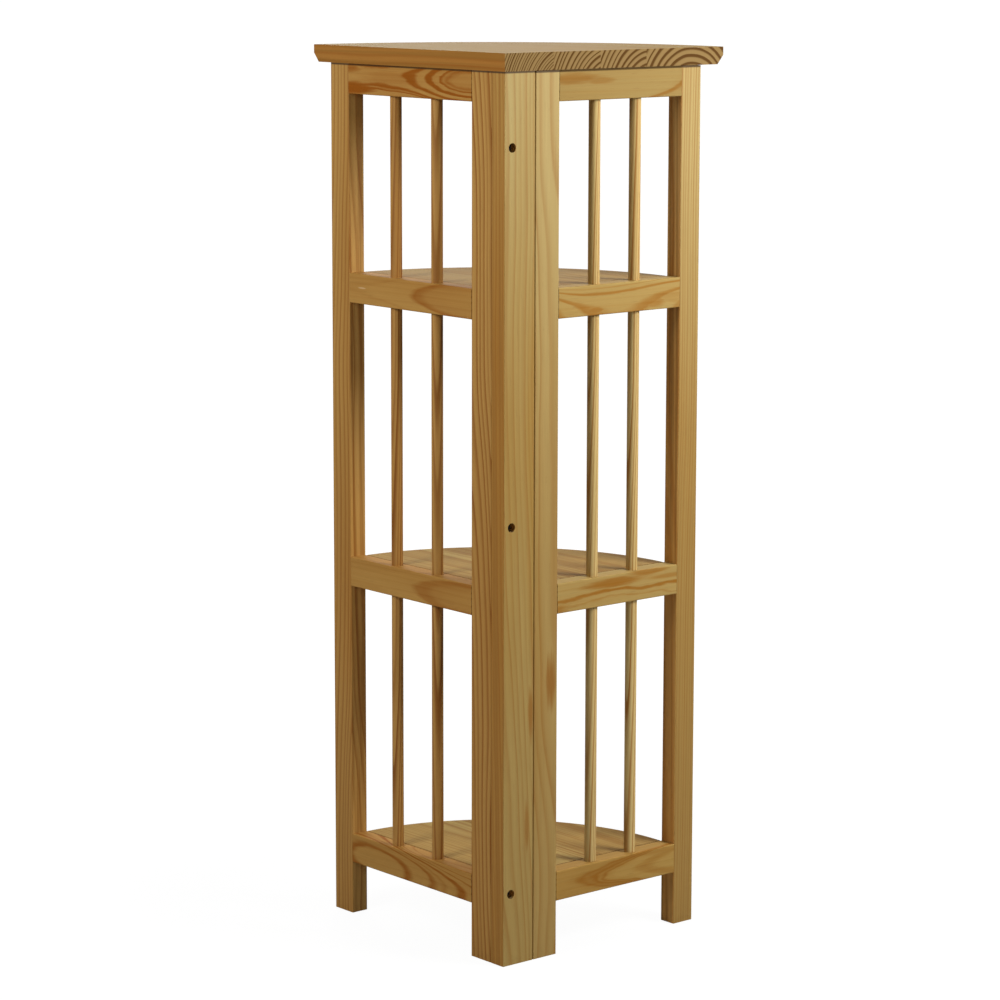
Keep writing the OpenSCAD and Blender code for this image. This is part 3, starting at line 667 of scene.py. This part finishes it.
# Shelves and top board: glued staves that run along the left panel
boardSettings = {
    "bottom_shelf": {"tone": "shelf", "seed": 3.0, "pithUp": 0.035, "ring": 0.0040, "contrast": 0.8,
                     "streak": 0.55},
    "middle_shelf": {"tone": "shelf", "seed": 17.0, "pithUp": 0.035, "ring": 0.0040, "contrast": 0.8,
                     "streak": 0.55},
    "upper_shelf": {"tone": "shelf", "seed": 29.0, "pithUp": 0.035, "ring": 0.0042, "contrast": 0.7,
                    "streak": 0.4},
    "top_board": {"tone": "top", "seed": 41.0, "pithUp": 0.0, "contrast": 0.9, "streak": 0.15,
                  # its long edges take a warmer, darker tone: partly the wood's own, partly painted shade
                  "sideShading": (1.09, 0.72, 0.45, 1),
                  "logs": ((0.095, -0.045, 0.0032), (0.150, -0.042, 0.0052), (0.205, -0.038, 0.0062),
                           (0.264, -0.045, 0.0074), (0.264, -0.045, 0.0074))},
}
boardWood = {"lean": (0.4, 0.5), "finish": "board"}
for board, s in boardSettings.items():
    low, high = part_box(board)
    staves = {**staveSettings, "start": low[0], "seed": s["seed"], "logs": s.get("logs")}
    pith = Vector((low[0], middle(board)[1], middle(board)[2] + s["pithUp"]))
    dress(board, woodMaterial("pine_" + board, "Y", pith, {**boardWood, **s, "staves": staves}))
print("shelves and top dressed")

# Hinges and screws
metalSettings = {
    "zinc": {"colour": (0.62, 0.61, 0.57, 1), "dark": (0.40, 0.39, 0.36, 1), "roughness": (0.26, 0.44)},
    "darkSteel": {"colour": (0.11, 0.09, 0.075, 1), "dark": (0.05, 0.04, 0.035, 1),
                  "roughness": (0.40, 0.58)},
}
metalLook = {
    "cloudScale": (90, 90, 90),
    "cloudRange": (0.35, 0.7),
    "brushScale": (300, 300, 2600),
    "brushRange": (0.3, 0.7),
    "bumpStrength": 0.3,
    "bumpDistance": 0.00002,
}


def metalMaterial(name, s, look):
    material = bpy.data.materials.new(name)
    material.use_nodes = True
    tree = material.node_tree
    shader = tree.nodes["Principled BSDF"]
    place = addNode(tree, "ShaderNodeTexCoord").outputs["Object"]
    cloud = noiseNode(tree, place, look["cloudScale"], detail=3.0)
    brushed = noiseNode(tree, place, look["brushScale"])
    colour = mixColour(tree, rangeNode(tree, cloud, *look["cloudRange"]), s["colour"], s["dark"])
    put(tree, shader.inputs["Base Color"], colour)
    shader.inputs["Metallic"].default_value = 1.0
    put(tree, shader.inputs["Roughness"], rangeNode(tree, brushed, *look["brushRange"], *s["roughness"]))
    bump = addNode(tree, "ShaderNodeBump")
    bump.inputs["Strength"].default_value = look["bumpStrength"]
    bump.inputs["Distance"].default_value = look["bumpDistance"]
    put(tree, bump.inputs["Height"], brushed)
    put(tree, shader.inputs["Normal"], bump.outputs["Normal"])
    return material


metals = {name: metalMaterial(name, s, metalLook) for name, s in metalSettings.items()}
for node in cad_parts:
    if node in ("hinge_pins", "corner_board_screws"):
        dress(node, metals["darkSteel"])
    elif node.startswith("hinge") or node.endswith("screws"):
        dress(node, metals["zinc"])
print("metal dressed")

# Floor and light
lightSettings = {
    "floorSize": 160.0,
    "floorGap": 0.0002,
    "floorColour": (0.45, 0.45, 0.445, 1),
    "floorWhite": 0.88,  # share of plain white that the camera sees on the floor
    "floorLevel": (1.09, 1.17),  # near the object, where its shadow lies, and far from it
    "floorReach": (0.35, 1.0),  # metres from the object's middle between which the level changes
    "ambient": 0.20,
    "white": 1.06,
    "softboxes": {
        "keySoftbox": {"place": (0.55, -1.22, 1.32), "aim": (-0.05, -0.1, 0.78), "size": 0.6, "power": 24.0},
        "sideSoftbox": {"place": (-1.50, -0.10, 1.32), "aim": (-0.1, 0.0, 0.75), "size": 0.6, "power": 15.0},
        "backSoftbox": {"place": (1.1, 2.0, 1.7), "aim": (0.0, 0.0, 0.6), "size": 1.4, "power": 30.0},
    },
}


def makeFloor(s):
    bpy.ops.object.select_all(action="DESELECT")
    bpy.ops.mesh.primitive_plane_add(size=s["floorSize"], location=(0, 0, -s["floorGap"]))
    floor = bpy.context.active_object
    floor.name = "studioFloor"
    material = bpy.data.materials.new("studioFloor")
    material.use_nodes = True
    tree = material.node_tree
    tree.nodes.remove(tree.nodes["Principled BSDF"])
    matte = addNode(tree, "ShaderNodeBsdfDiffuse")
    matte.inputs["Color"].default_value = s["floorColour"]
    white = addNode(tree, "ShaderNodeEmission")
    away = vectorNode(tree, "LENGTH", addNode(tree, "ShaderNodeTexCoord").outputs["Object"])
    put(tree, white.inputs["Strength"], rangeNode(tree, away, *s["floorReach"], *s["floorLevel"]))
    rays = addNode(tree, "ShaderNodeLightPath")
    mix = addNode(tree, "ShaderNodeMixShader")
    put(tree, mix.inputs[0], mathNode(tree, "MULTIPLY", rays.outputs["Is Camera Ray"], s["floorWhite"]))
    tree.links.new(matte.outputs[0], mix.inputs[1])
    tree.links.new(white.outputs[0], mix.inputs[2])
    tree.links.new(mix.outputs[0], tree.nodes["Material Output"].inputs["Surface"])
    floor.data.materials.append(material)
    floor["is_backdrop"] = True


def makeWorld(s):
    world = bpy.data.worlds.new("studioWorld")
    bpy.context.scene.world = world
    world.use_nodes = True
    tree = world.node_tree
    tree.nodes.clear()
    rays = addNode(tree, "ShaderNodeLightPath")
    shiny = mathNode(tree, "MAXIMUM", rays.outputs["Is Glossy Ray"], rays.outputs["Is Transmission Ray"])
    seen = mathNode(tree, "MAXIMUM", rays.outputs["Is Camera Ray"], shiny)
    sky = addNode(tree, "ShaderNodeBackground")
    put(tree, sky.inputs["Color"], (1, 1, 1, 1))
    put(tree, sky.inputs["Strength"], rangeNode(tree, seen, 0, 1, s["ambient"], s["white"], smooth=False))
    out = addNode(tree, "ShaderNodeOutputWorld")
    tree.links.new(sky.outputs[0], out.inputs["Surface"])


def makeSoftbox(name, s):
    data = bpy.data.lights.new(name, "AREA")
    data.shape = "SQUARE"
    data.size = s["size"]
    data.energy = s["power"]
    lamp = bpy.data.objects.new(name, data)
    bpy.context.scene.collection.objects.link(lamp)
    lamp.location = s["place"]
    lamp.rotation_euler = (Vector(s["aim"]) - Vector(s["place"])).to_track_quat("-Z", "Y").to_euler()


makeFloor(lightSettings)
makeWorld(lightSettings)
for name, s in lightSettings["softboxes"].items():
    makeSoftbox(name, s)
print("stage and light ready")

low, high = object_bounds()
